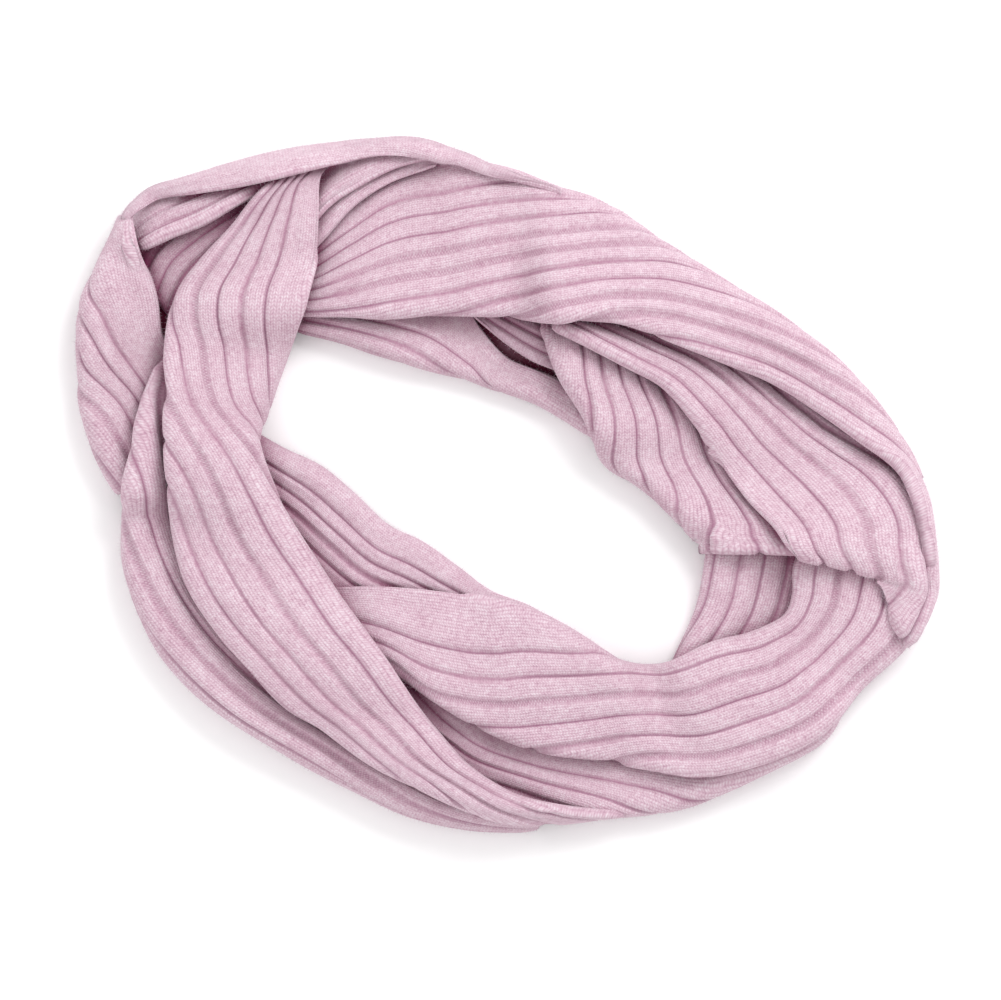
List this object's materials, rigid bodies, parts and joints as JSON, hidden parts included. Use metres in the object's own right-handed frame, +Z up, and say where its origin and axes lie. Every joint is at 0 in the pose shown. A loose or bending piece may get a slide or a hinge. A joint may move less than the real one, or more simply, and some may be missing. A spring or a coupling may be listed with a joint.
{
  "type": "infinity scarf",
  "caption": "Wide-rib knit infinity scarf: one endless loop with plain edge bands, laid flat twice round in a loose twisted oval ring with an open middle.",
  "frame": {"origin": "the middle of the footprint, on the surface that the scarf lies on", "axes": "+X along the longer way of the oval ring, +Y across it towards the stretch that carries the upper fold, +Z up from the surface"},
  "size_m": [0.4308, 0.3474, 0.0508],
  "materials": {
    "rib_knit": "soft brushed wide-rib knit, pale heathered lilac pink",
    "deep_rib_knit": "the same knit in the shade between the layers"
  },
  "bodies": {
    "root": {"hidden_layers": "deep_rib_knit", "inner_top_stretch": "rib_knit", "deep_top_stretch": "rib_knit", "inner_lower_stretch": "rib_knit", "upper_left_lining": "rib_knit", "upper_left_turn": "rib_knit", "outer_left_stretch": "rib_knit", "outer_lower_stretch": "rib_knit", "inner_right_stretch": "rib_knit", "lower_right_stretch": "rib_knit", "right_inner_stretch": "rib_knit", "right_stretch": "rib_knit", "upper_roll": "rib_knit", "upper_fold": "rib_knit", "upper_stretch": "rib_knit", "outer_fold_stretch": "rib_knit", "left_stretch": "rib_knit", "outer_top_band": "rib_knit"}
  },
  "joints": []
}
